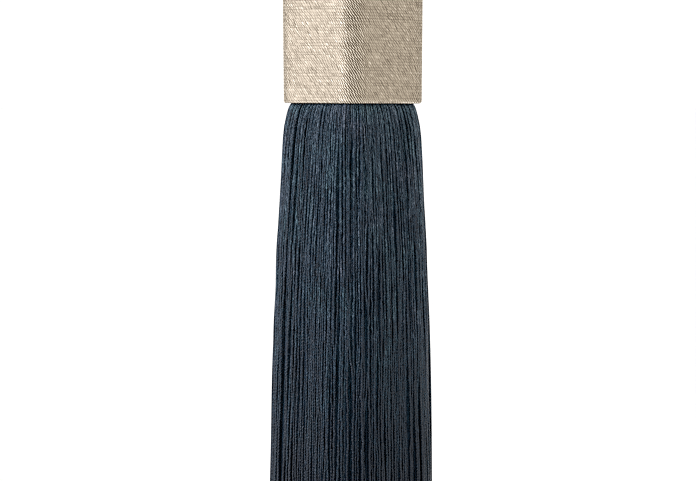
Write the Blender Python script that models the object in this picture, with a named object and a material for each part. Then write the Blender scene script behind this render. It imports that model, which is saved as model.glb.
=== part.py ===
"""A curtain tieback's hanging tassel: a square head wound with metal thread, over a long skirt of cut yarn.

Units are metres, +Z is up. The origin is where the tieback's cord enters the head, at the centre of its top face.
The faces of the square head look along X and Y, and the skirt hangs straight down.
"""

import math
import random

import bmesh
import bpy
from mathutils import Matrix, Vector

# Head: a square block with soft upright corners, a little narrower at its lower end
HEAD_HEIGHT = 0.056
HEAD_BOTTOM_Z = -HEAD_HEIGHT
HEAD_SIDE_TOP = 0.0465
HEAD_SIDE_BOTTOM = 0.0459
HEAD_CORNER_RADIUS = 0.008
HEAD_EDGE_RADIUS = 0.0018
CORNER_STEPS = 4

# The metal thread goes round the head in turns that lie side by side, each a low rib
THREAD_TURNS = 44
THREAD_RIB_HEIGHT = 0.00025

# The tieback's cord goes down this hole, and the skirt's heading sits in the socket under the head
CORD_HOLE_RADIUS = 0.0045
CORD_HOLE_SIDES = 24
HEADING_SIDE = 0.0404
HEADING_CORNER_RADIUS = 0.0070
HEADING_HEIGHT = 0.0080
SEAT_GAP = 0.0003
CUTTER_REACH = 0.002

# Skirt: its drop below the head, and the outline at its cut ends
SKIRT_DROP = 0.166
SKIRT_SIDE_BOTTOM = 0.0626
SKIRT_CORNER_RADIUS_BOTTOM = 0.0240

# How the outline widens on the way down: the drop below the head, and the share of the whole flare reached there
# The first bend lies just inside the heading, so that no ring of points meets its underside
FLARE_ROWS = (
    {"drop": -0.0003, "share": 0.00},
    {"drop": 0.004, "share": 0.16},
    {"drop": 0.014, "share": 0.35},
    {"drop": 0.040, "share": 0.56},
    {"drop": 0.090, "share": 0.80},
    {"drop": SKIRT_DROP, "share": 1.00},
)

# Rings of strands from the outside in: how far each ring's middle line lies inside the outline at the top and
# at the bottom, its number of strands, their half width there, and every how many of the flare's rows they bend
STRAND_RINGS = (
    {"strands": 96, "inset": (0.00085, 0.0011), "half_width": (0.00058, 0.00086), "bend_every": 1},
    {"strands": 96, "inset": (0.0021, 0.0029), "half_width": (0.00054, 0.00080), "bend_every": 2},
    {"strands": 56, "inset": (0.0040, 0.0056), "half_width": (0.00085, 0.0013), "bend_every": 3},
    {"strands": 32, "inset": (0.0072, 0.0098), "half_width": (0.0012, 0.0020), "bend_every": 3},
    {"strands": 12, "inset": (0.0120, 0.0160), "half_width": (0.0016, 0.0030), "bend_every": 3},
    {"strands": 5, "inset": (0.0162, 0.0245), "half_width": (0.0019, 0.0042), "bend_every": 3},
)
ROOT_DEPTH = 0.003
SMALLEST_CORNER_RADIUS = 0.001

# The hanging yarn is a little uneven: slow waves round the skirt push neighbouring strands aside together
SWAY_SIDEWAYS = 0.0006
SWAY_OUTWARD = 0.0006
FEW_WAVES = 3
MANY_WAVES = 7
END_UNEVENNESS = 0.0016
SEED = 11

THREAD_COLOUR = (0.60, 0.52, 0.41, 1.0)
YARN_COLOUR = (0.024, 0.036, 0.052, 1.0)


def clear_scene():
    """Removes whatever the scene already holds."""
    for existing in list(bpy.data.objects):
        bpy.data.objects.remove(existing, do_unlink=True)


def new_collection(name):
    made = bpy.data.collections.new(name)
    bpy.context.scene.collection.children.link(made)
    return made


def new_material(name, colour, roughness, metallic):
    """A plain Principled material with the piece's colour."""
    made = bpy.data.materials.new(name)
    made.use_nodes = True
    shader = made.node_tree.nodes["Principled BSDF"]
    shader.inputs["Base Color"].default_value = colour
    shader.inputs["Roughness"].default_value = roughness
    shader.inputs["Metallic"].default_value = metallic
    return made


def new_object(name, bm, collection):
    """Turns a bmesh into a named object and frees it."""
    bmesh.ops.recalc_face_normals(bm, faces=bm.faces)
    mesh = bpy.data.meshes.new(name)
    bm.to_mesh(mesh)
    bm.free()
    made = bpy.data.objects.new(name, mesh)
    collection.objects.link(made)
    return made


def combine(piece, helper, operation):
    """Cuts a helper shape out of a piece, or joins it to the piece."""
    helper.hide_render = True
    helper.display_type = "WIRE"
    boolean = piece.modifiers.new(helper.name, "BOOLEAN")
    boolean.operation = operation
    boolean.object = helper


def rounded_block(side, radius, low, high):
    """A square block between two heights, with its four upright edges rounded."""
    bm = bmesh.new()
    bmesh.ops.create_cube(bm, size=1.0)
    bmesh.ops.scale(bm, vec=(side, side, high - low), verts=bm.verts)
    bmesh.ops.translate(bm, vec=(0, 0, (low + high) / 2), verts=bm.verts)
    upright = [edge for edge in bm.edges if edge.verts[0].co.xy == edge.verts[1].co.xy]
    bmesh.ops.bevel(bm, geom=upright, offset=radius, segments=CORNER_STEPS, profile=0.5, affect="EDGES")
    return bm


def cut_level(bm, height):
    """Adds a ring of points at a height, so that the shape can bend there."""
    everything = bm.verts[:] + bm.edges[:] + bm.faces[:]
    bmesh.ops.bisect_plane(bm, geom=everything, plane_co=(0, 0, height), plane_no=(0, 0, 1))


def head_inset(height):
    """How far the head's surface lies inside its widest block: the taper, the soft ends and the thread's ribs."""
    depth = -height
    taper = (HEAD_SIDE_TOP - HEAD_SIDE_BOTTOM) / 2 * depth / HEAD_HEIGHT
    from_end = min(depth, HEAD_HEIGHT - depth)
    past_edge = max(0.0, HEAD_EDGE_RADIUS - from_end)
    soft_end = HEAD_EDGE_RADIUS - math.sqrt(max(0.0, HEAD_EDGE_RADIUS**2 - past_edge**2))
    half_turns = round(depth / HEAD_HEIGHT * THREAD_TURNS * 2)
    groove = THREAD_RIB_HEIGHT if half_turns % 2 == 0 else 0.0
    return taper + soft_end + groove


def build_head(parts, helpers):
    """The wound head, with the cord's hole in its top and the skirt's socket under it."""
    bm = rounded_block(HEAD_SIDE_TOP, HEAD_CORNER_RADIUS, HEAD_BOTTOM_Z, 0.0)
    half_turn = HEAD_HEIGHT / THREAD_TURNS / 2
    for level in range(1, 2 * THREAD_TURNS):
        cut_level(bm, -level * half_turn)
    flat = HEAD_SIDE_TOP / 2 - HEAD_CORNER_RADIUS
    for vert in bm.verts:
        corner = Vector([coordinate - max(-flat, min(flat, coordinate)) for coordinate in vert.co.xy])
        vert.co.xy -= corner.normalized() * head_inset(vert.co.z)
    head = new_object("head", bm, parts)
    head.data.materials.append(new_material("metal_thread", THREAD_COLOUR, roughness=0.42, metallic=0.45))

    hole = bmesh.new()
    bmesh.ops.create_cone(
        hole,
        cap_ends=True,
        segments=CORD_HOLE_SIDES,
        radius1=CORD_HOLE_RADIUS,
        radius2=CORD_HOLE_RADIUS,
        depth=HEAD_HEIGHT,
    )
    bmesh.ops.translate(hole, vec=(0, 0, CUTTER_REACH - HEAD_HEIGHT / 2), verts=hole.verts)
    combine(head, new_object("cord_hole", hole, helpers), "DIFFERENCE")

    socket = rounded_block(
        HEADING_SIDE + 2 * SEAT_GAP,
        HEADING_CORNER_RADIUS + SEAT_GAP,
        HEAD_BOTTOM_Z - CUTTER_REACH,
        HEAD_BOTTOM_Z + HEADING_HEIGHT + SEAT_GAP,
    )
    combine(head, new_object("socket", socket, helpers), "DIFFERENCE")


def outline_point(side, radius, share_round):
    """A point on a rounded square and its outward direction, at a share of the way round from the +X side's middle."""
    flat = side / 2 - radius
    corner_length = math.pi / 2 * radius
    quarter, along = divmod(share_round % 1.0 * 4, 1)
    along *= 2 * flat + corner_length
    turn = min(max(along - flat, 0.0), corner_length) / radius
    outward = Vector((math.cos(turn), math.sin(turn)))
    point = Vector((flat, flat)) + radius * outward
    if along < flat:
        point.y = along
    elif along > flat + corner_length:
        point.x = 2 * flat + corner_length - along
    to_quarter = Matrix.Rotation(quarter * math.pi / 2, 2)
    return to_quarter @ point, to_quarter @ outward


def flare_share(drop):
    """The share of the flare at a drop below the head, read between the rows of the table."""
    for above, below in zip(FLARE_ROWS, FLARE_ROWS[1:]):
        if drop <= below["drop"]:
            part = max(0.0, drop - above["drop"]) / (below["drop"] - above["drop"])
            return above["share"] + part * (below["share"] - above["share"])
    return 1.0


def strand_place(ring, share_round, drop):
    """The middle of a strand at a drop below the head, and the direction that is outward for it there."""
    inset_top, inset_bottom = ring["inset"]
    top, top_outward = outline_point(
        HEADING_SIDE - 2 * inset_top,
        max(HEADING_CORNER_RADIUS - inset_top, SMALLEST_CORNER_RADIUS),
        share_round,
    )
    bottom, bottom_outward = outline_point(
        SKIRT_SIDE_BOTTOM - 2 * inset_bottom,
        max(SKIRT_CORNER_RADIUS_BOTTOM - inset_bottom, SMALLEST_CORNER_RADIUS),
        share_round,
    )
    share = flare_share(drop)
    outward = top_outward.lerp(bottom_outward, share).normalized()
    sideways = Vector((-outward.y, outward.x))
    hang = max(0.0, drop) / SKIRT_DROP
    angle = 2 * math.pi * share_round
    aside = SWAY_SIDEWAYS * hang * math.sin(MANY_WAVES * angle + 5 * hang)
    out = SWAY_OUTWARD * hang * (math.sin(FEW_WAVES * angle + 1.0) + math.sin(MANY_WAVES * angle - 4 * hang)) / 2
    return top.lerp(bottom, share) + aside * sideways + out * outward, outward


def strand_ring(ring, stagger, chance):
    """One ring of four-sided strands, cut as a straight row of fringe and then wound round under the heading."""
    row = bmesh.new()
    row_pitch = 4.0
    for strand in range(ring["strands"]):
        length = ROOT_DEPTH + SKIRT_DROP - chance.uniform(0, END_UNEVENNESS)
        made = bmesh.ops.create_cone(row, cap_ends=True, segments=4, radius1=1.0, radius2=1.0, depth=length)
        place = (strand * row_pitch, 0, ROOT_DEPTH - length / 2)
        bmesh.ops.translate(row, vec=place, verts=made["verts"])
    for bend in FLARE_ROWS[:-1][:: ring["bend_every"]]:
        cut_level(row, -bend["drop"])

    width_top, width_bottom = ring["half_width"]
    for vert in row.verts:
        strand = round(vert.co.x / row_pitch)
        drop = -vert.co.z
        place, outward = strand_place(ring, (strand + stagger) / ring["strands"], drop)
        half_width = width_top + (width_bottom - width_top) * flare_share(drop)
        across = vert.co.x - strand * row_pitch
        sideways = Vector((-outward.y, outward.x))
        place += half_width * (across * sideways + vert.co.y * outward)
        vert.co = (place.x, place.y, HEAD_BOTTOM_Z - drop)
    return row


def build_skirt(parts, helpers):
    """The heading that sits in the head's socket, with every strand's root fused into its underside."""
    heading = rounded_block(HEADING_SIDE, HEADING_CORNER_RADIUS, HEAD_BOTTOM_Z, HEAD_BOTTOM_Z + HEADING_HEIGHT)
    skirt = new_object("skirt", heading, parts)
    skirt.data.materials.append(new_material("yarn", YARN_COLOUR, roughness=0.75, metallic=0.0))
    chance = random.Random(SEED)
    for number, ring in enumerate(STRAND_RINGS):
        strands = strand_ring(ring, 0.5 * (number % 2), chance)
        combine(skirt, new_object(f"strand_ring_{number + 1}", strands, helpers), "UNION")


def main():
    clear_scene()
    parts = new_collection("curtain_tieback_tassel")
    helpers = new_collection("helpers")
    build_head(parts, helpers)
    build_skirt(parts, helpers)


main()
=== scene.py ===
"""The looks of a curtain tieback's hanging tassel: its metal thread, its skirt of yarn, light and camera.

Units are metres and +Z is up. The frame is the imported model's: its origin is the centre of the head's top.
"""

import math

import bmesh
import bpy
import numpy as np
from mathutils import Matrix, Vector

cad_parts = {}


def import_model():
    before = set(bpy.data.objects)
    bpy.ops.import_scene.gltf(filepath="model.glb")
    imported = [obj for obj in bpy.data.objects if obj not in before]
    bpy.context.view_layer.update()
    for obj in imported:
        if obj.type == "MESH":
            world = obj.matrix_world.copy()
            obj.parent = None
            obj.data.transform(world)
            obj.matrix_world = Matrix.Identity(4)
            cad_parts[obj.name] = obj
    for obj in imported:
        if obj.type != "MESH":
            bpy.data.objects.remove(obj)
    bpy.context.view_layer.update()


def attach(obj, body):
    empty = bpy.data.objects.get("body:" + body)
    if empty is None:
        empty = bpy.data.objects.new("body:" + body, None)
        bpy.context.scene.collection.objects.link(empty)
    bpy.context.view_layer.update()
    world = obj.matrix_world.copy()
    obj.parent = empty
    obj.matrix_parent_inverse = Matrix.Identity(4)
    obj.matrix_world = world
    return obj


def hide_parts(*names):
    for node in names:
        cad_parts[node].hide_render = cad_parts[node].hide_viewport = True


MM = 0.001
SEED = 4

# The head's size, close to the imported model's. HEAD_NARROWING comes off each side on the way down.
HEAD_HEIGHT = 56.0 * MM
HEAD_SIDE = 46.3 * MM
HEAD_NARROWING = 0.45 * MM
HEAD_CORNER_RADIUS = 8.0 * MM
HEAD_EDGE_RADIUS = 1.8 * MM
RIM_RADIUS = 1.5 * MM
CORD_HOLE_RADIUS = 4.5 * MM
CORD_HOLE_SIDES = 48
SOCKET_SIDE = 41.0 * MM
SOCKET_CORNER_RADIUS = 7.3 * MM
SOCKET_DEPTH = 8.3 * MM
CUTTER_REACH = 2.0 * MM

# The block under the thread
BLOCK_GAP = 0.2 * MM
BLOCK_CORNER_SEGMENTS = 10
BLOCK_EDGE_SEGMENTS = 4

# The metal thread round the head's side. It starts on the top face, START_TURNS before the edge, and
# EXTRA_TURNS bring it to the end of the rim. Its twist shows as a mark at every second step along it.
SIDE_TURNS = 46
EXTRA_TURNS = 0.45
START_TURNS = 1.5
THREAD_ROWS = 6
TURN_DEPTH = 0.04 * MM
PLY_MARK = 1.26 * MM
PLY_LEAN = 1.7
PLY_DEPTH = 0.30 * MM
PLY_DEPTH_RANGE = (0.7, 1.2)
PLY_SHARE_ON_FACE = 0.10
PLY_SHARE_NEAR_CORNER = 0.75

# How far, in steps, the marks stray from an even spacing: slowly, each by itself, and whole turns on a face
MARK_WANDER = 1.2
WANDER_STEPS = 17
MARK_JITTER = 0.20
FACE_JITTER = 0.42
FACE_SLIP = 1.0

# How far a corner's look, with its painted glints and deeper painted shade in its marks, reaches along the
# side, and how closely the marks crowd there
CORNER_REACH = 0.8 * HEAD_CORNER_RADIUS
CORNER_CROWDING = 0.16

# The thread's brightness, from 0 to 1 along its colours: random grain with painted glints, shade and
# highlight
FACE_TONE = 0.752
# Painted glints: brightness added to the thread near the corners
CORNER_PAINTED_GLINT = 0.238
TONE_GRAIN = 0.055
TURN_TONE = 0.015
# Painted shade in the grooves of the twist marks, made deeper near the corners
MARK_GROOVE_SHADES = (0.54, 0.80)
CORNER_MARK_SHADE = 0.78
CORNER_MARK_SHADE_WANDER = 0.12
# Painted shade at the seams between turns, away from each turn's crown
SEAM_SHADE = 0.85
SEAM_SHADE_WANDER = 0.10
# A painted highlight along the last turn on the lower rim
RIM_PAINTED_HIGHLIGHT = 0.26
RIM_HIGHLIGHT_BLEND = 0.6 * MM

# The thread's flat coil on the head's top
COIL_PITCH = 1.28 * MM
COIL_STEP = 0.42 * MM
COIL_SIDES = 8
COIL_EDGE_GAP = 0.1 * MM
COIL_HOLE_GAP = 0.75 * MM
COIL_PATH_POINTS = 4000
COIL_FULLNESS = 1.08
COIL_WAIST = 0.26
COIL_TONE = 0.72
COIL_GRAIN = 0.08
# Painted shade where the coil's thread pinches in at its waist
COIL_WAIST_SHADE = 0.30

# The skirt's outline under the head and at its cut ends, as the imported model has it
SKIRT_DROP = 166.0 * MM
SKIRT_SIDE_TOP = 40.4 * MM
SKIRT_CORNER_RADIUS_TOP = 7.0 * MM
SKIRT_SIDE_BOTTOM = 62.6 * MM
SKIRT_CORNER_RADIUS_BOTTOM = 24.0 * MM
SMALLEST_CORNER_RADIUS = 1.0 * MM
FLARE_DROPS = np.array([0.0, 1.0, 2.0, 4.0, 9.0, 14.0, 24.0, 40.0, 60.0, 90.0, 125.0, 166.0]) * MM
FLARE_SHARES = np.array([0.03, 0.11, 0.155, 0.215, 0.325, 0.39, 0.465, 0.57, 0.70, 0.80, 0.89, 1.0])

# How far the skirt hangs to the photograph's left
SWAY_DROPS = np.array([0.0, 44.0, 132.0, 166.0]) * MM
SWAY = np.array([0.30, 0.26, 0.59, 0.68]) * MM

# The yarns, in layers from the outside in
OUTER_LAYERS = (
    {"name": "yarn_outer", "yarns": 172, "inset_top": 0.6 * MM, "inset_bottom": 0.8 * MM},
    {"name": "yarn_second", "yarns": 164, "inset_top": 1.6 * MM, "inset_bottom": 2.1 * MM},
    {"name": "yarn_third", "yarns": 140, "inset_top": 2.7 * MM, "inset_bottom": 3.6 * MM},
)
OUTER_ROWS = 94
OUTER_SIDES = 6

# How unevenly the outer yarns are spaced, as shares of the space between two, and their small locks
YARN_JITTER = 0.17
LOCK_SIZE = 3
LOCK_UNEVENNESS = 0.3
LOCK_PULL = 0.03

# The plainer fill inside the three layers
INNER_YARNS = 900
INNER_ROWS = 12
INNER_SIDES = 5
INNER_INSET_TOP = 3.6 * MM
INNER_INSET_BOTTOM = 4.8 * MM
INNER_SPREAD_TOP_MM = 15.5
INNER_SPREAD_BOTTOM_MM = 25.0
# Painted shade: the inner fill's yarns are made darker
INNER_PAINTED_SHADE = 0.9

# The shape of a yarn: its width, its ends, and how it strays aside and in or out on its way down
YARN_WIDTH_TOP = 0.78 * MM
YARN_WIDTH_BOTTOM = 0.95 * MM
YARN_WIDTH_SPREAD = 0.08
ROOT_DEPTH = 4.0 * MM
END_UNEVENNESS = 1.6 * MM
ROW_CROWDING = 1.2
ASIDE_WAVES = (1.0, 2.3, 4.1)
ASIDE_SIZE = 0.28 * MM
OUT_WAVES = (1.3, 2.9)
OUT_SIZE = 0.30 * MM
WAVE_FALL = 0.7
WAVE_START_DROP = 25.0 * MM
STRAY_SHARE = 0.08
STRAY_WANDER = 2.6
KINK = 0.12 * MM
KINK_START_DROP = 4.0 * MM
LAYER_SPREAD = 0.16 * MM
LAYER_SPREAD_DROP = 10.0 * MM
TUCK = 0.50 * MM
TUCK_SHARE = 0.5
TUCK_DROP = 30.0 * MM

# The yarn's brightness by drop below the head, and its spread by yarn, by patch and by row
# By drop the brightness is painted light: a painted shadow just under the head, painted light below it, and
# painted shade towards the cut ends
PAINTED_LIGHT_DROPS = np.array([0.2, 0.7, 2.5, 6.0, 40.0, 166.0]) * MM
PAINTED_LIGHT_BY_DROP = np.array([0.05, 3.8, 2.1, 1.35, 1.12, 0.06])
YARN_TONE_SPREAD = 0.32
PATCH_TONE_SPREAD = 0.35
PATCH_ROWS = 4
ROW_TONE_SPREAD = 0.22
BRIGHTEST_TONE = 2.2

# Colours, as stops of a place and a colour
THREAD_COLOURS = (
    (0.0, (0.020, 0.013, 0.008)),
    (0.35, (0.17, 0.132, 0.090)),
    (0.75, (0.555, 0.472, 0.364)),
    (1.0, (0.93, 0.855, 0.735)),
)
# The yarn's navy dye, bluer in its painted shade and greyer in its painted highlights
YARN_DYE_SHADE_AND_HIGHLIGHT = (
    (0.0, (0.0010, 0.0055, 0.0140)),
    (0.25, (0.0078, 0.0268, 0.0475)),
    (1.0, (0.0900, 0.1250, 0.1600)),
)
YARN_TINTS = (
    (0.35, (0.86, 1.05, 1.0)),
    (0.5, (0.95, 1.0, 1.0)),
    (0.65, (1.15, 0.97, 0.99)),
)
BLOCK_COLOURS = ((0.3, (0.20, 0.15, 0.10)), (0.7, (0.30, 0.23, 0.16)))
FLOOR_COLOURS = ((0.3, (0.945, 0.945, 0.945)), (0.7, (0.955, 0.955, 0.955)))

# The surface of thread, yarn, block and floor
THREAD_METALLIC = 0.9
THREAD_ROUGHNESS = 0.62
THREAD_GRAIN_SCALE = 2600.0
THREAD_GRAIN_DEPTH = 0.05 * MM
THREAD_GRAIN_STRENGTH = 0.4
YARN_ROUGHNESS = 0.45
OUTER_GLOSS = 0.40
INNER_GLOSS = 0.10
YARN_PLIES = 2.0
TWIST_PITCH_MM = 1.3
TWIST_START_MM = 500
# The twist's and the crinkle's light paint highlights on the yarn's plies and crinkles and shade between them
TWIST_LIGHT = (0.92, 1.08)
TWIST_RELIEF = 0.4
TINT_SCALE = 70.0
CRINKLE_AROUND = 1.5
CRINKLE_SCALE = 0.5
CRINKLE_DETAIL = 2.0
CRINKLE_ROUGHNESS = 0.8
CRINKLE_RANGE = (0.3, 0.7)
CRINKLE_LIGHT = (0.2, 1.75)
CRINKLE_CONTRAST = 1.6
CRINKLE_RELIEF = 12.0
YARN_RELIEF_DEPTH = 0.16 * MM
RAMP_PLACE_PER_LIGHT = 0.25
BLOCK_GRAIN_SCALE = 400.0
BLOCK_ROUGHNESS = 0.7
FLOOR_GRAIN_SCALE = 3.0
FLOOR_ROUGHNESS = 0.9

# Camera: corner on to the head and level with its underside, with the photograph's frame
PHOTO_WIDTH_PX = 696
PHOTO_HEIGHT_PX = 481
MM_PER_PX = 0.42
TASSEL_AXIS_PX = 352.75
HEAD_BOTTOM_PX = 103.95
CAMERA_AZIMUTH = math.radians(45)
CAMERA_DISTANCE = 1.5
CAMERA_HEIGHT = -0.055
CAMERA_REACH = 200.0
SENSOR_WIDTH_MM = 36.0

# The sharpening of the finished picture
SHARPNESS = 0.20
SCREEN_GAMMA = 2.2

# Light: a white room, two soft lights with their angles in degrees, and a wide floor under the skirt
WORLD_BRIGHTNESS = 1.07
LIGHTS = (
    {
        "name": "key",
        "azimuth": -26,
        "elevation": 14,
        "distance": 0.6,
        "size": 0.45,
        "power": 0.44,
        "aim": (0, 0, -0.085),
        "colour": (0.81, 0.86, 1.0),
        "spread": 36,
    },
    {
        "name": "fill",
        "azimuth": 132,
        "elevation": 50,
        "distance": 0.9,
        "size": 0.3,
        "power": 0.8,
        "aim": (0, 0, -0.04),
        "colour": (1.0, 1.0, 1.0),
        "spread": 180,
    },
)
FLOOR_SIZE = 90.0
FLOOR_GAP = 30.0 * MM


def outline(side, radius, share):
    """Points on a rounded square and their outward directions, at shares of the way round from +X."""
    flat = side / 2 - radius
    arc = np.pi / 2 * radius
    quarter = np.floor(share * 4)
    along = (share * 4 - quarter) * (2 * flat + arc)
    turn = np.clip(along - flat, 0, arc) / radius
    normal_x, normal_y = np.cos(turn), np.sin(turn)
    x = flat + radius * normal_x - np.clip(along - flat - arc, 0, None)
    y = flat + radius * normal_y - np.clip(flat - along, 0, None)
    angle = quarter * np.pi / 2
    cos, sin = np.cos(angle), np.sin(angle)
    points = np.stack([cos * x - sin * y, sin * x + cos * y], axis=-1)
    normals = np.stack([cos * normal_x - sin * normal_y, sin * normal_x + cos * normal_y], axis=-1)
    return points, normals


def link_object(name, mesh):
    made = bpy.data.objects.new(name, mesh)
    bpy.context.scene.collection.objects.link(made)
    return made


def object_from_bmesh(name, bm):
    mesh = bpy.data.meshes.new(name)
    bm.to_mesh(mesh)
    bm.free()
    return link_object(name, mesh)


def new_mesh(name, points, faces, tone, uvs=None):
    """A smooth-shaded mesh object, with a tone for each point and one UV for each face corner."""
    mesh = bpy.data.meshes.new(name)
    mesh.from_pydata(points.reshape(-1, 3).tolist(), [], faces)
    layer = mesh.attributes.new("tone", "FLOAT", "POINT")
    layer.data.foreach_set("value", tone.astype(np.float32).ravel())
    if uvs is not None:
        layer = mesh.uv_layers.new(name="UVMap")
        layer.data.foreach_set("uv", uvs.astype(np.float32).ravel())
    mesh.shade_smooth()
    return link_object(name, mesh)


def finish_piece(piece, material, slot, *replaced):
    piece.data.materials.append(material)
    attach(piece, "root")
    if replaced:
        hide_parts(*replaced)


class Nodes:
    """Adds nodes to a material and links them."""

    def __init__(self, name):
        self.material = bpy.data.materials.new(name)
        self.material.use_nodes = True
        self.tree = self.material.node_tree
        self.shader = self.tree.nodes["Principled BSDF"]

    def add(self, kind, *inputs, **settings):
        """A node with its settings made and its first inputs set or linked."""
        node = self.tree.nodes.new("ShaderNode" + kind)
        for key, value in settings.items():
            setattr(node, key, value)
        for socket, value in zip(node.inputs, inputs):
            self.put(socket, value)
        return node

    def put(self, socket, value):
        if isinstance(value, bpy.types.NodeSocket):
            self.tree.links.new(value, socket)
        elif value is not None:
            socket.default_value = value

    def math(self, operation, a, b=None):
        return self.add("Math", a, b, operation=operation).outputs[0]

    def attribute(self, name):
        return self.add("Attribute", attribute_name=name).outputs["Fac"]

    def colours(self, share, stops):
        """A colour ramp through stops of a place and a colour."""
        ramp = self.add("ValToRGB", share)
        elements = ramp.color_ramp.elements
        while len(elements) < len(stops):
            elements.new(0.5)
        for element, (place, colour) in zip(elements, stops):
            element.position = place
            element.color = (*colour, 1.0)
        return ramp.outputs["Color"]

    def multiply(self, a, b):
        mix = self.add("Mix", data_type="RGBA", blend_type="MULTIPLY")
        mix.inputs["Factor"].default_value = 1.0
        self.put(mix.inputs["A"], a)
        self.put(mix.inputs["B"], b)
        return mix.outputs["Result"]

    def noise(self, scale, detail=3.0):
        coordinates = self.add("TexCoord").outputs["Object"]
        node = self.add("TexNoise", coordinates)
        node.inputs["Scale"].default_value = scale
        node.inputs["Detail"].default_value = detail
        return node.outputs["Fac"]

    def span(self, value, given, wanted):
        """The value, stretched so that the two given numbers become the two wanted ones."""
        return self.add("MapRange", value, *given, *wanted).outputs[0]

    def bump(self, height, distance, strength=1.0):
        node = self.add("Bump")
        node.inputs["Strength"].default_value = strength
        node.inputs["Distance"].default_value = distance
        self.put(node.inputs["Height"], height)
        self.put(self.shader.inputs["Normal"], node.outputs["Normal"])

    def set(self, **values):
        for key, value in values.items():
            self.put(self.shader.inputs[key.replace("_", " ")], value)


def thread_material():
    """Pale champagne metal thread, coloured by its tone: painted highlights on its plies and painted shade
    between them, with small glints.
    """
    n = Nodes("metal_thread_wound")
    base = n.colours(n.attribute("tone"), THREAD_COLOURS)
    n.set(Base_Color=base, Metallic=THREAD_METALLIC, Roughness=THREAD_ROUGHNESS)
    n.bump(n.noise(THREAD_GRAIN_SCALE), THREAD_GRAIN_DEPTH, THREAD_GRAIN_STRENGTH)
    return n.material


def yarn_material(name, gloss):
    """Dark navy twisted yarn, crinkled, with painted highlights on its plies and crinkles and painted shade
    between them, in places a little greener or more violet.

    Its UV gives the way round the yarn, from 0 to 1, and the way along it in millimetres.
    """
    n = Nodes(name)
    tint = n.colours(n.noise(TINT_SCALE, 1.0), YARN_TINTS)
    uv = n.add("SeparateXYZ", n.add("UVMap", uv_map="UVMap").outputs[0])
    turns_round = n.math("MULTIPLY", uv.outputs[0], YARN_PLIES)
    turns_along = n.math("MULTIPLY", uv.outputs[1], 1.0 / TWIST_PITCH_MM)
    turn = n.math("ADD", turns_round, turns_along)
    twist = n.math("SINE", n.math("MULTIPLY", turn, 2 * math.pi))
    around = n.math("MULTIPLY", uv.outputs[0], CRINKLE_AROUND)
    crinkle_node = n.add("TexNoise", n.add("CombineXYZ", around, uv.outputs[1]).outputs[0])
    crinkle_node.inputs["Scale"].default_value = CRINKLE_SCALE
    crinkle_node.inputs["Detail"].default_value = CRINKLE_DETAIL
    crinkle_node.inputs["Roughness"].default_value = CRINKLE_ROUGHNESS
    crinkle = crinkle_node.outputs["Fac"]

    # Painted light along the twist and the crinkles, then a colour that is bluer in painted shade and greyer
    # in painted highlights
    light = n.span(twist, (-1, 1), TWIST_LIGHT)
    painted_sparkle = n.math("POWER", n.span(crinkle, CRINKLE_RANGE, CRINKLE_LIGHT), CRINKLE_CONTRAST)
    light = n.math("MULTIPLY", light, painted_sparkle)
    light = n.math("MULTIPLY", light, n.attribute("tone"))
    dye_and_light = n.colours(n.math("MULTIPLY", light, RAMP_PLACE_PER_LIGHT), YARN_DYE_SHADE_AND_HIGHLIGHT)
    n.set(Base_Color=n.multiply(dye_and_light, tint))
    n.set(Roughness=YARN_ROUGHNESS, Specular_IOR_Level=gloss)
    twist_relief = n.math("MULTIPLY", twist, TWIST_RELIEF)
    crinkle_relief = n.math("MULTIPLY", crinkle, CRINKLE_RELIEF)
    n.bump(n.math("ADD", twist_relief, crinkle_relief), YARN_RELIEF_DEPTH)
    return n.material


def block_material():
    """The glued face of the block inside the cord's hole and under the head."""
    n = Nodes("head_block")
    n.set(Base_Color=n.colours(n.noise(BLOCK_GRAIN_SCALE), BLOCK_COLOURS), Roughness=BLOCK_ROUGHNESS)
    return n.material


def floor_material():
    n = Nodes("floor")
    n.set(Base_Color=n.colours(n.noise(FLOOR_GRAIN_SCALE), FLOOR_COLOURS), Roughness=FLOOR_ROUGHNESS)
    return n.material


def wandering(chance, count, size):
    """A number for each of many steps along the thread, which drifts at random between set steps."""
    knots = chance.normal(0, size, count // WANDER_STEPS + 2)
    return np.interp(np.arange(count) / WANDER_STEPS, np.arange(len(knots)), knots)[:, None]


def side_travel():
    """The way from the head's top face over its edge, down its side and round its lower rim."""
    return math.pi / 2 * (HEAD_EDGE_RADIUS + RIM_RADIUS) + HEAD_HEIGHT - HEAD_EDGE_RADIUS - RIM_RADIUS


def wound_surface(travel):
    """Inset from the widest outline, height and normal, at a travel from the top face down over the side."""
    edge_travel = math.pi / 2 * HEAD_EDGE_RADIUS
    side = HEAD_HEIGHT - HEAD_EDGE_RADIUS - RIM_RADIUS
    top_turn = np.clip(travel, 0, edge_travel) / HEAD_EDGE_RADIUS
    down = np.clip(travel - edge_travel, 0, side)
    rim_turn = np.clip((travel - edge_travel - side) / RIM_RADIUS, 0, math.pi / 2)
    past_ends = np.clip(-travel, 0, None) + np.clip(travel - side_travel(), 0, None)
    inset = HEAD_EDGE_RADIUS * (1 - np.sin(top_turn)) + RIM_RADIUS * (1 - np.cos(rim_turn)) + past_ends
    inset += HEAD_NARROWING * down / side
    height = -HEAD_EDGE_RADIUS * (1 - np.cos(top_turn)) - down - RIM_RADIUS * np.sin(rim_turn)
    normal_out = np.sin(top_turn) * np.cos(rim_turn)
    normal_up = np.cos(top_turn) - np.sin(rim_turn)
    return inset, height, normal_out, normal_up


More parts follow.
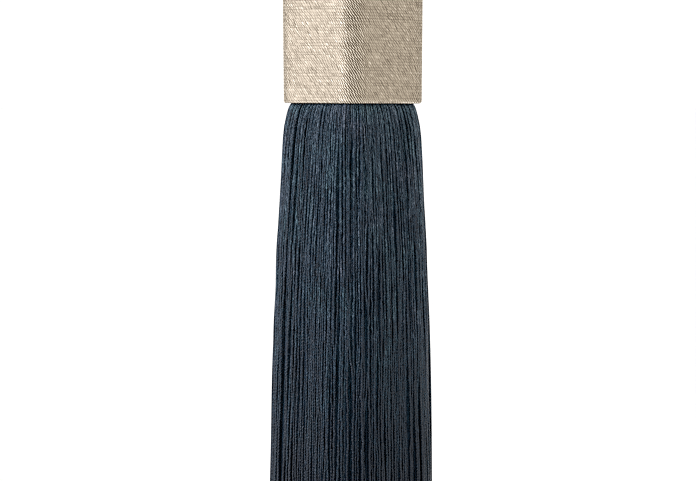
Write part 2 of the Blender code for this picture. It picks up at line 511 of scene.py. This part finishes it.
def thread_tone_and_painted_light(chance, near_corner, in_groove, crown, travel):
    """The wound thread's tone: random grain, painted shade in marks and seams, deepest near the corners,
    painted glints near the corners and a painted highlight on the rim.
    """
    count = len(near_corner)
    # Painted shade in the marks' grooves, deepest near the corners
    corner_shade_depth = np.clip(CORNER_MARK_SHADE + wandering(chance, count, CORNER_MARK_SHADE_WANDER), 0, 1)
    groove_shade = chance.uniform(*MARK_GROOVE_SHADES, (count, 1)) * (1 - corner_shade_depth * near_corner)
    mark_shade = np.where(in_groove, groove_shade, 1.0)
    # Painted shade at the seams between turns
    seam_shade = SEAM_SHADE + wandering(chance, count, SEAM_SHADE_WANDER)
    # Painted glints: the tone is raised near the corners
    tone = FACE_TONE + CORNER_PAINTED_GLINT * near_corner + chance.normal(0, TONE_GRAIN, (count, 1))
    tone = tone + wandering(chance, count, TURN_TONE)
    tone = tone * mark_shade * (seam_shade + (1 - seam_shade) * crown)
    # Painted highlight: the tone is raised along the last turn on the rim
    rim_start = side_travel() - math.pi / 2 * RIM_RADIUS
    tone = tone * (1 + RIM_PAINTED_HIGHLIGHT * np.clip((travel - rim_start) / RIM_HIGHLIGHT_BLEND, 0, 1))
    return np.clip(tone, 0, 1)


def build_winding(material, chance):
    """The metal thread round the head's side: turns that meet in their grooves and show their twist."""
    pitch = side_travel() / SIDE_TURNS
    around = 4 * (HEAD_SIDE - 2 * HEAD_CORNER_RADIUS) + 2 * math.pi * HEAD_CORNER_RADIUS
    columns = 2 * around / PLY_MARK
    turns = SIDE_TURNS + EXTRA_TURNS
    count = int(turns * columns)
    step = np.arange(count)[:, None]
    across = np.linspace(0, 1, THREAD_ROWS + 1)[None, :]
    from_corner = ((step / columns * 4) % 1.0 - 0.5) * around / 4
    near_corner = np.exp(-((from_corner / CORNER_REACH) ** 2))

    jitter = FACE_JITTER + (MARK_JITTER - FACE_JITTER) * near_corner
    wander = wandering(chance, count, MARK_WANDER) + jitter * chance.uniform(-1, 1, (count, 1))
    face = np.round(4 * step / columns).astype(int)
    slips = np.random.default_rng(SEED + 1).uniform(-FACE_SLIP, FACE_SLIP, int(4 * turns) + 2)
    wander = wander + slips[face] * (1 - near_corner)
    place = (step + wander + PLY_LEAN * (across - 0.5)) / columns
    travel = pitch * (place + across - START_TURNS)
    place = place - CORNER_CROWDING * np.sin(2 * np.pi * (4 * place - 0.5)) / (8 * np.pi)

    inset, height, out, up = wound_surface(travel)
    crown = np.broadcast_to(np.sqrt(1 - (2 * across - 1) ** 2), place.shape)
    in_groove = step % 2 == 1
    ply_share = PLY_SHARE_ON_FACE + PLY_SHARE_NEAR_CORNER * near_corner
    ply_depth = PLY_DEPTH * chance.uniform(*PLY_DEPTH_RANGE, (count, 1)) * ply_share * in_groove
    sink = TURN_DEPTH * (1 - crown) + ply_depth * np.sqrt(crown)
    inset = inset + sink * out
    height = height - sink * up
    points, _ = outline(HEAD_SIDE - 2 * inset, HEAD_CORNER_RADIUS - inset, place % 1.0)
    points = np.concatenate([points, height[..., None]], axis=-1)
    tone = thread_tone_and_painted_light(chance, near_corner, in_groove, crown, travel)

    number = np.arange(count - 1)[:, None]
    row = np.arange(THREAD_ROWS)[None, :]
    corner = number * (THREAD_ROWS + 1) + row
    corners = [corner, corner + 1, corner + THREAD_ROWS + 2, corner + THREAD_ROWS + 1]
    faces = np.stack(corners, axis=-1).reshape(-1, 4)
    winding = new_mesh("head_winding", points, faces.tolist(), tone)
    finish_piece(winding, material, "metal_thread")


def build_coil(material, chance):
    """The thread's flat coil on the head's top, from its edge in to the cord's hole."""
    outer = HEAD_SIDE / 2 - HEAD_EDGE_RADIUS - COIL_EDGE_GAP
    inner = CORD_HOLE_RADIUS + COIL_HOLE_GAP
    turns = (outer - inner) / COIL_PITCH
    coarse = np.linspace(0, turns, COIL_PATH_POINTS)
    half = outer - coarse * COIL_PITCH
    flat_share = (half - inner) / (outer - inner)
    corner_radius = half - (outer - HEAD_CORNER_RADIUS) * flat_share
    points, _ = outline(2 * half, corner_radius, coarse % 1.0)
    length = np.concatenate([[0], np.cumsum(np.hypot(*np.diff(points, axis=0).T))])
    along = np.arange(0, length[-1], COIL_STEP)
    path_x = np.interp(along, length, points[:, 0])
    path_y = np.interp(along, length, points[:, 1])
    path = np.stack([path_x, path_y], axis=-1)
    ahead = np.gradient(path, axis=0)
    ahead /= np.linalg.norm(ahead, axis=1)[:, None]

    round_angle = np.arange(COIL_SIDES) * 2 * np.pi / COIL_SIDES
    lobe = 1 - COIL_WAIST * np.sin(round_angle) ** 2
    turned = round_angle[None, :] + along[:, None] / (2 * PLY_MARK) * 2 * np.pi
    thread_radius = COIL_PITCH / 2 * COIL_FULLNESS
    radius = thread_radius * lobe[None, :]
    aside = radius * np.cos(turned)
    lift = radius * np.sin(turned) - thread_radius
    x = path[:, None, 0] - aside * ahead[:, None, 1]
    y = path[:, None, 1] + aside * ahead[:, None, 0]
    coil = np.stack([x, y, lift], axis=-1)
    grain = chance.normal(0, COIL_GRAIN, len(along))[:, None]
    # Painted shade at the waist of the coil's thread
    tone = COIL_TONE + grain - COIL_WAIST_SHADE * np.sin(round_angle)[None, :] ** 2
    made = new_mesh("head_top_coil", coil, tube_faces(1, len(along), COIL_SIDES), np.clip(tone, 0, 1))
    finish_piece(made, material, "metal_thread")


def tube_faces(tubes, rows, sides):
    """Faces of closed tubes whose points lie tube by tube, row by row."""
    tube = np.arange(tubes)[:, None, None] * rows * sides
    row = np.arange(rows - 1)[None, :, None] * sides
    side = np.arange(sides)[None, None, :]
    beside = (side + 1) % sides
    corners = [tube + row + side, tube + row + sides + side, tube + row + sides + beside, tube + row + beside]
    walls = np.stack(np.broadcast_arrays(*corners), axis=-1).reshape(-1, 4)
    first = np.arange(tubes)[:, None] * rows * sides + np.arange(sides)[None, :]
    last = first[:, ::-1] + (rows - 1) * sides
    return walls.tolist() + first.tolist() + last.tolist()


def rounded_box(side, radius, low, high):
    """A square box between two heights, with rounded upright edges."""
    bm = bmesh.new()
    bmesh.ops.create_cube(bm, size=1.0)
    bmesh.ops.scale(bm, vec=(side, side, high - low), verts=bm.verts)
    bmesh.ops.translate(bm, vec=(0, 0, (low + high) / 2), verts=bm.verts)
    upright = [edge for edge in bm.edges if edge.verts[0].co.xy == edge.verts[1].co.xy]
    bmesh.ops.bevel(
        bm, geom=upright, offset=radius, segments=BLOCK_CORNER_SEGMENTS, profile=0.5, affect="EDGES"
    )
    return bm


def build_block(material):
    """The block under the thread, with the cord's hole and the skirt's socket."""
    under = TURN_DEPTH + PLY_DEPTH + BLOCK_GAP
    side = HEAD_SIDE - 2 * under - 2 * HEAD_NARROWING
    bm = rounded_box(side, HEAD_CORNER_RADIUS - under, under - HEAD_HEIGHT, -under)
    level = [edge for edge in bm.edges if edge.verts[0].co.z == edge.verts[1].co.z]
    edge_radius = HEAD_EDGE_RADIUS - under
    bmesh.ops.bevel(
        bm, geom=level, offset=edge_radius, segments=BLOCK_EDGE_SEGMENTS, profile=0.5, affect="EDGES"
    )
    block = object_from_bmesh("head_block", bm)
    hole = bmesh.new()
    bmesh.ops.create_cone(
        hole,
        cap_ends=True,
        segments=CORD_HOLE_SIDES,
        radius1=CORD_HOLE_RADIUS,
        radius2=CORD_HOLE_RADIUS,
        depth=2 * HEAD_HEIGHT,
    )
    socket_top = SOCKET_DEPTH - HEAD_HEIGHT
    socket = rounded_box(SOCKET_SIDE, SOCKET_CORNER_RADIUS, -HEAD_HEIGHT - CUTTER_REACH, socket_top)
    cutters = [object_from_bmesh("hole_cutter", hole), object_from_bmesh("socket_cutter", socket)]
    for cutter in cutters:
        boolean = block.modifiers.new(cutter.name, "BOOLEAN")
        boolean.operation = "DIFFERENCE"
        boolean.object = cutter
    graph = bpy.context.evaluated_depsgraph_get()
    cut_mesh = bpy.data.meshes.new_from_object(block.evaluated_get(graph))
    block.modifiers.clear()
    block.data = cut_mesh
    for cutter in cutters:
        bpy.data.objects.remove(cutter, do_unlink=True)
    finish_piece(block, material, "metal_thread", "head")


def skirt_middle(share, inset_top, inset_bottom, drop):
    """Points at shares of the way round the skirt, at drops below the head, with their outward directions."""
    flare = np.interp(drop, FLARE_DROPS, FLARE_SHARES)
    radius_top = np.maximum(SKIRT_CORNER_RADIUS_TOP - inset_top, SMALLEST_CORNER_RADIUS)
    radius_bottom = np.maximum(SKIRT_CORNER_RADIUS_BOTTOM - inset_bottom, SMALLEST_CORNER_RADIUS)
    top, top_out = outline(SKIRT_SIDE_TOP - 2 * inset_top, radius_top, share)
    bottom, bottom_out = outline(SKIRT_SIDE_BOTTOM - 2 * inset_bottom, radius_bottom, share)
    points = top + (bottom - top) * flare[..., None]
    out = top_out + (bottom_out - top_out) * flare[..., None]
    return points, out / np.linalg.norm(out, axis=-1)[..., None]


def slow_waves(chance, yarns, hang, waves, size):
    """A smooth random wander for each yarn on its way down, nothing at its root."""
    wander = np.zeros_like(hang)
    for cycles in waves:
        phase = chance.uniform(0, 2 * np.pi, (yarns, 1))
        strength = chance.normal(0, size / cycles**WAVE_FALL, (yarns, 1))
        wander += strength * np.sin(2 * np.pi * cycles * hang / SKIRT_DROP + phase)
    return wander * np.clip(hang / WAVE_START_DROP, 0, 1)


def yarn_middles(chance, share, insets, hang):
    """The middle line of each yarn, in X and Y, at its drops below the head."""
    yarns = len(share)
    stray = np.where(chance.random((yarns, 1)) < STRAY_SHARE, STRAY_WANDER, 1.0)
    aside = stray * slow_waves(chance, yarns, hang, ASIDE_WAVES, ASIDE_SIZE)
    aside += chance.normal(0, KINK, hang.shape) * np.clip(hang / KINK_START_DROP, 0, 1)
    out = slow_waves(chance, yarns, hang, OUT_WAVES, OUT_SIZE)
    spread_by_drop = np.clip(hang / LAYER_SPREAD_DROP, 0, 1) + hang / SKIRT_DROP
    out += chance.normal(0, LAYER_SPREAD, (yarns, 1)) * spread_by_drop
    tucked = chance.random((yarns, 1)) < TUCK_SHARE
    out -= TUCK * tucked * np.exp(-hang / TUCK_DROP)
    shares = np.broadcast_to(share[:, None], hang.shape) % 1.0
    middle, outward = skirt_middle(shares, *insets, hang)
    sideways = np.stack([-outward[..., 1], outward[..., 0]], axis=-1)
    middle = middle + aside[..., None] * sideways + out[..., None] * outward
    return middle - np.interp(hang, SWAY_DROPS, SWAY)[..., None] * math.sqrt(0.5)


def yarn_tones(chance, drop, painted_shade):
    """A tone for each row of each yarn, which varies by yarn, by patch along it and by row, holds painted
    light by drop, and is scaled down as painted shade for the inner fill.
    """
    yarns, rows = drop.shape
    patch = (np.arange(rows)[None, :] + chance.integers(0, PATCH_ROWS, (yarns, 1))) // PATCH_ROWS
    patch_tones = chance.normal(0, PATCH_TONE_SPREAD, (yarns, rows // PATCH_ROWS + 2))
    patches = np.take_along_axis(patch_tones, patch, axis=1)
    by_yarn = chance.normal(0, YARN_TONE_SPREAD, (yarns, 1))
    by_row = chance.normal(0, ROW_TONE_SPREAD, (yarns, rows))
    tone = np.exp(by_yarn + by_row + patches)
    # Painted light by drop: a painted shadow under the head, painted light below it, painted shade towards
    # the ends
    return painted_shade * np.minimum(tone, BRIGHTEST_TONE) * np.interp(drop, PAINTED_LIGHT_DROPS, PAINTED_LIGHT_BY_DROP)


def yarn_uvs(chance, drop, sides):
    """UVs for the yarns' face corners: the way round, and the way along from each yarn's own start."""
    yarns, rows = drop.shape
    travel = drop / MM + chance.uniform(0, TWIST_START_MM, (yarns, 1))
    upper = np.broadcast_to(travel[:, :-1, None], (yarns, rows - 1, sides))
    lower = np.broadcast_to(travel[:, 1:, None], (yarns, rows - 1, sides))
    left = np.arange(sides) / sides
    right = np.broadcast_to(left + 1 / sides, upper.shape)
    left = np.broadcast_to(left, upper.shape)
    corners = [(left, upper), (left, lower), (right, lower), (right, upper)]
    walls = np.stack([np.stack(corner, axis=-1) for corner in corners], axis=-2).reshape(-1, 2)
    caps = np.zeros((2 * yarns * sides, 2))
    return np.concatenate([walls, caps])


def build_yarns(name, chance, share, insets, rows, sides, painted_shade=1.0):
    """Yarns that hang from the head's socket as closed tubes, joined into one mesh."""
    yarns = len(share)
    ends = SKIRT_DROP - chance.uniform(0, END_UNEVENNESS, (yarns, 1))
    spread = np.linspace(0, 1, rows)[None, :] ** ROW_CROWDING
    drop = -ROOT_DEPTH + (ends + ROOT_DEPTH) * spread
    hang = np.clip(drop, 0, None)
    middle = yarn_middles(chance, share, insets, hang)

    width = YARN_WIDTH_TOP + (YARN_WIDTH_BOTTOM - YARN_WIDTH_TOP) * np.sqrt(hang / SKIRT_DROP)
    width = width * (1 + chance.normal(0, YARN_WIDTH_SPREAD, (yarns, 1)))
    around = np.arange(sides) * 2 * np.pi / sides
    ring = np.stack([np.cos(around), np.sin(around)], axis=-1)
    level = middle[:, :, None, :] + width[:, :, None, None] / 2 * ring[None, None, :, :]
    height = np.broadcast_to((-HEAD_HEIGHT - drop)[:, :, None, None], (*level.shape[:3], 1))
    points = np.concatenate([level, height], axis=-1)

    tone = np.repeat(yarn_tones(chance, drop, painted_shade), sides, axis=1)
    uvs = yarn_uvs(chance, drop, sides)
    return new_mesh(name, points, tube_faces(yarns, rows, sides), tone, uvs)


def clumped(share, chance):
    """Shares drawn together into small locks, each towards its own middle."""
    count = len(share)
    unevenness = chance.uniform(0, LOCK_UNEVENNESS, count)
    lock = np.floor(np.arange(count) / LOCK_SIZE + unevenness).astype(int)
    middle = np.array([share[lock == number].mean() for number in lock])
    return share + LOCK_PULL * (middle - share)


def build_skirt(chance):
    """The skirt: three layers of closely modelled yarns over a plainer fill."""
    outer_material = yarn_material("navy_yarn", OUTER_GLOSS)
    inside_material = yarn_material("navy_yarn_inside", INNER_GLOSS)
    for number, layer in enumerate(OUTER_LAYERS):
        count = layer["yarns"]
        jitter = chance.uniform(-YARN_JITTER, YARN_JITTER, count)
        share = (np.arange(count) + 0.5 * (number % 2) + jitter) / count
        share = clumped(share, chance)
        insets = (layer["inset_top"], layer["inset_bottom"])
        made = build_yarns(layer["name"], chance, share, insets, OUTER_ROWS, OUTER_SIDES)
        if number == 0:
            finish_piece(made, outer_material, "yarn", "skirt")
        else:
            finish_piece(made, inside_material, "yarn")

    share = chance.uniform(0, 1, INNER_YARNS)
    depth = 1 - np.sqrt(chance.uniform(0.0, 1.0, INNER_YARNS))
    inset_top = (INNER_INSET_TOP + depth * INNER_SPREAD_TOP_MM * MM)[:, None]
    inset_bottom = (INNER_INSET_BOTTOM + depth * INNER_SPREAD_BOTTOM_MM * MM)[:, None]
    insets = (inset_top, inset_bottom)
    # The inner fill gets painted shade, a darker tone
    made = build_yarns("yarn_inner", chance, share, insets, INNER_ROWS, INNER_SIDES, INNER_PAINTED_SHADE)
    finish_piece(made, inside_material, "yarn")


def place_camera():
    """The camera at the photograph's angle: corner on, and level with the underside of the head."""
    toward = Vector((math.sin(CAMERA_AZIMUTH), -math.cos(CAMERA_AZIMUTH), 0))
    right = Vector((math.cos(CAMERA_AZIMUTH), math.sin(CAMERA_AZIMUTH), 0))
    middle_x = (PHOTO_WIDTH_PX / 2 - TASSEL_AXIS_PX) * MM_PER_PX * MM
    middle_z = -HEAD_HEIGHT - (PHOTO_HEIGHT_PX / 2 - HEAD_BOTTOM_PX) * MM_PER_PX * MM
    aim = right * middle_x + Vector((0, 0, middle_z))
    place = right * middle_x + toward * CAMERA_DISTANCE + Vector((0, 0, CAMERA_HEIGHT))
    camera = link_object("camera", bpy.data.cameras.new("camera"))
    camera.location = place
    camera.rotation_euler = (aim - place).to_track_quat("-Z", "Y").to_euler()
    camera.data.sensor_width = SENSOR_WIDTH_MM
    view_width = PHOTO_WIDTH_PX * MM_PER_PX * MM
    camera.data.lens = SENSOR_WIDTH_MM * (aim - place).length / view_width
    camera.data.clip_end = CAMERA_REACH
    bpy.context.scene.camera = camera


def area_light(name, azimuth, elevation, distance, size, power, aim, colour, spread):
    """A soft square light, placed by its direction from the point that it aims at."""
    lamp = bpy.data.lights.new(name, "AREA")
    lamp.size = size
    lamp.energy = power
    lamp.color = colour
    lamp.spread = math.radians(spread)
    made = link_object(name, lamp)
    azimuth = math.radians(azimuth)
    elevation = math.radians(elevation)
    level = math.cos(elevation)
    direction = Vector((math.sin(azimuth) * level, -math.cos(azimuth) * level, math.sin(elevation)))
    made.location = Vector(aim) + direction * distance
    made.rotation_euler = (-direction).to_track_quat("-Z", "Y").to_euler()


def light_scene():
    world = bpy.data.worlds.new("studio")
    world.use_nodes = True
    background = world.node_tree.nodes["Background"]
    background.inputs["Color"].default_value = (1.0, 1.0, 1.0, 1.0)
    background.inputs["Strength"].default_value = WORLD_BRIGHTNESS
    bpy.context.scene.world = world
    for light in LIGHTS:
        area_light(**light)


def build_floor():
    bm = bmesh.new()
    bmesh.ops.create_grid(bm, x_segments=1, y_segments=1, size=FLOOR_SIZE)
    bmesh.ops.translate(bm, vec=(0, 0, -HEAD_HEIGHT - SKIRT_DROP - FLOOR_GAP), verts=bm.verts)
    floor = object_from_bmesh("floor", bm)
    floor.data.materials.append(floor_material())


def crispen():
    """Sharpens the finished picture a little, as the photograph is sharpened."""
    scene = bpy.context.scene
    scene.use_nodes = True
    tree = scene.node_tree
    tree.nodes.clear()
    layers = tree.nodes.new("CompositorNodeRLayers")
    to_screen = tree.nodes.new("CompositorNodeGamma")
    to_screen.inputs["Gamma"].default_value = 1 / SCREEN_GAMMA
    sharpen = tree.nodes.new("CompositorNodeFilter")
    sharpen.filter_type = "SHARPEN_DIAMOND"
    sharpen.inputs["Fac"].default_value = SHARPNESS
    to_light = tree.nodes.new("CompositorNodeGamma")
    to_light.inputs["Gamma"].default_value = SCREEN_GAMMA
    picture = tree.nodes.new("CompositorNodeComposite")
    chain = (layers, to_screen, sharpen, to_light, picture)
    for before, after in zip(chain, chain[1:]):
        tree.links.new(before.outputs["Image"], after.inputs["Image"])


def main():
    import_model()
    place_camera()
    chance = np.random.default_rng(SEED)
    thread = thread_material()
    build_block(block_material())
    build_winding(thread, chance)
    build_coil(thread, chance)
    build_skirt(chance)
    light_scene()
    build_floor()
    crispen()
    bpy.context.scene.view_settings.view_transform = "Standard"


main()
